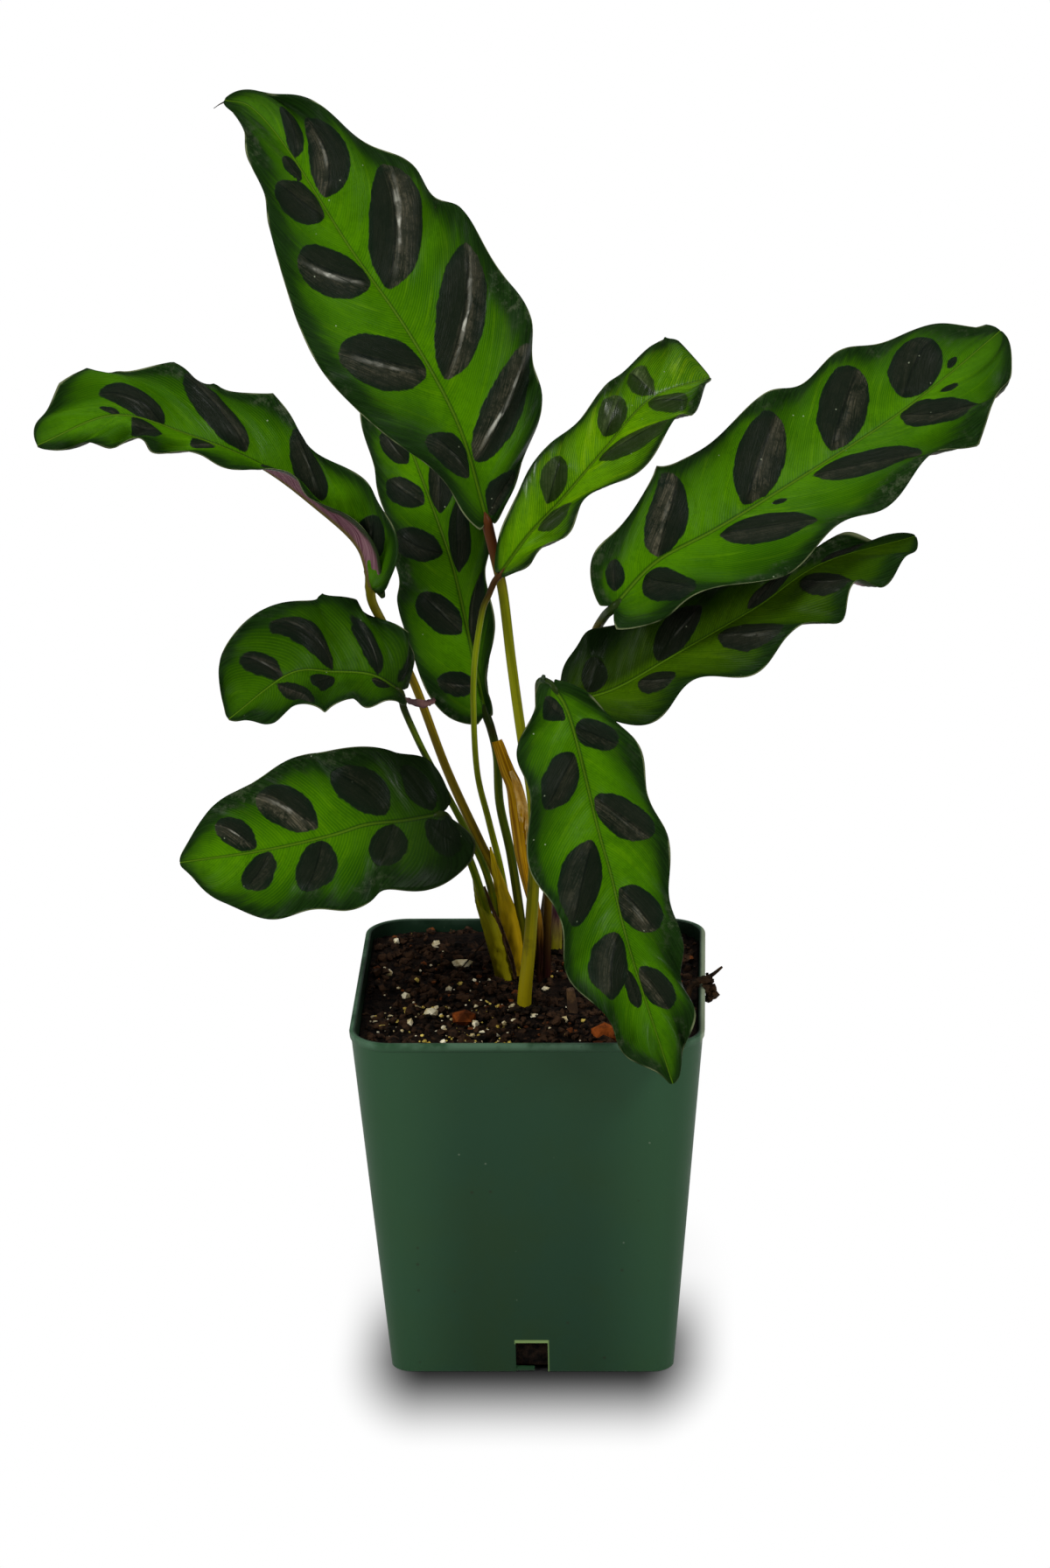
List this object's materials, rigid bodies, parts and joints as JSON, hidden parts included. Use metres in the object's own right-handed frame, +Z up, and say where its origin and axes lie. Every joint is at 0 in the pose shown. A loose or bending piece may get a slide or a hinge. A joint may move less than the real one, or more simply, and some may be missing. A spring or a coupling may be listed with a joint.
{
  "type": "potted rattlesnake plant",
  "caption": "Rattlesnake plant with long wavy patterned leaves on thin stalks, standing in a square tapered nursery pot filled with soil.",
  "frame": {"origin": "middle of the pot's flat underside", "axes": "+Z up along the plant, -Y towards the side that the picture shows, +X to the right as seen from there"},
  "size_m": [0.2687, 0.14, 0.3527],
  "materials": {
    "pot": "semi-gloss moulded plastic",
    "soil": "matt, crumbly peat and bark with pale grains",
    "blade": "satin leaf skin, patterned on its upper face",
    "young_blade": "satin leaf skin, bright yellow-green",
    "stalk": "satin plant stalk",
    "dry_sheath": "matt, dry and papery",
    "shoot": "satin rolled young leaf",
    "twig": "matt fibre",
    "bark": "matt bark"
  },
  "bodies": {
    "root": {"pot": "pot", "soil": "soil", "leaf_1": "blade", "leaf_2": "blade", "leaf_3": "blade", "leaf_4": "blade", "leaf_5": "blade", "leaf_6": "young_blade", "leaf_7": "blade", "leaf_8": "blade", "leaf_9": "blade", "petiole_1": "stalk", "petiole_2": "stalk", "petiole_3": "stalk", "petiole_4": "stalk", "petiole_5": "stalk", "petiole_6": "stalk", "petiole_7": "stalk", "petiole_8": "stalk", "petiole_9": "stalk", "dry_sheath": "dry_sheath", "new_shoot": "shoot", "old_stalk": "dry_sheath", "rim_twig": "twig", "bark_chip_1": "bark", "bark_chip_2": "bark"}
  },
  "joints": []
}
